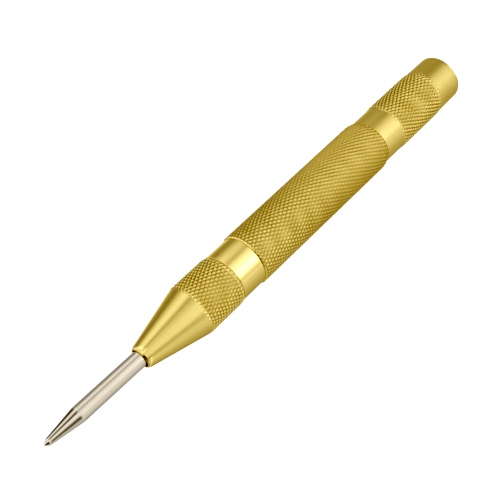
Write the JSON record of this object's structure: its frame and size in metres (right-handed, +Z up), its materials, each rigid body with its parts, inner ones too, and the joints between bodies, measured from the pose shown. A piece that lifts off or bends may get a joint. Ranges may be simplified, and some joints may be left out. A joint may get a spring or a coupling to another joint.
{
  "type": "automatic center punch",
  "caption": "Spring-loaded automatic center punch with a knurled brass barrel, conical nose, sliding steel point and screw-on adjusting cap.",
  "frame": {"origin": "on the plane that the tool lies on, below the middle of its length and of its width", "axes": "+X along the tool from the point to the adjusting cap, +Z up, +Y to the left of the tool seen from the cap"},
  "size_m": [0.13, 0.0124, 0.0124],
  "materials": {
    "polished_brass": "fine turned, semi-gloss",
    "knurled_brass": "diamond knurled",
    "satin_brass": "satin turned",
    "ground_steel": "ground",
    "hardened_steel": "turned",
    "spring_steel": "drawn wire"
  },
  "bodies": {
    "housing": {"nose_cap": "polished_brass", "barrel": "knurled_brass", "return_spring": "spring_steel"},
    "punch": {"punch_point": "ground_steel", "drive_pin": "hardened_steel"},
    "striker": {"hammer": "hardened_steel"},
    "seat": {"spring_seat": "hardened_steel", "main_spring": "spring_steel"},
    "cap": {"adjusting_cap": "satin_brass"}
  },
  "joints": [
    {"name": "punch_press", "type": "slide", "parent": "housing", "child": "punch", "axis": [1, 0, 0], "range_m": [0, 0.008], "stiffness_N_per_m": 500, "springref_m": -0.006, "deforming": ["return_spring"]},
    {"name": "hammer_travel", "type": "slide", "parent": "housing", "child": "striker", "axis": [1, 0, 0], "range_m": [0, 0.008], "stiffness_N_per_m": 5000, "springref_m": -0.01, "deforming": ["main_spring"]},
    {"name": "cap_feed", "type": "slide", "parent": "housing", "child": "seat", "axis": [1, 0, 0], "range_m": [0, 0.004], "deforming": ["main_spring"]},
    {"name": "cap_turn", "type": "hinge", "parent": "seat", "child": "cap", "pos_m": [0.049, 0, 0.00621], "axis": [1, 0, 0], "range_deg": [0, 1440]}
  ],
  "couplings": [
    {"joint": "hammer_travel", "follows": "punch_press", "ratio": 1},
    {"joint": "cap_turn", "follows": "cap_feed", "rad_per_m": 6283.2}
  ]
}
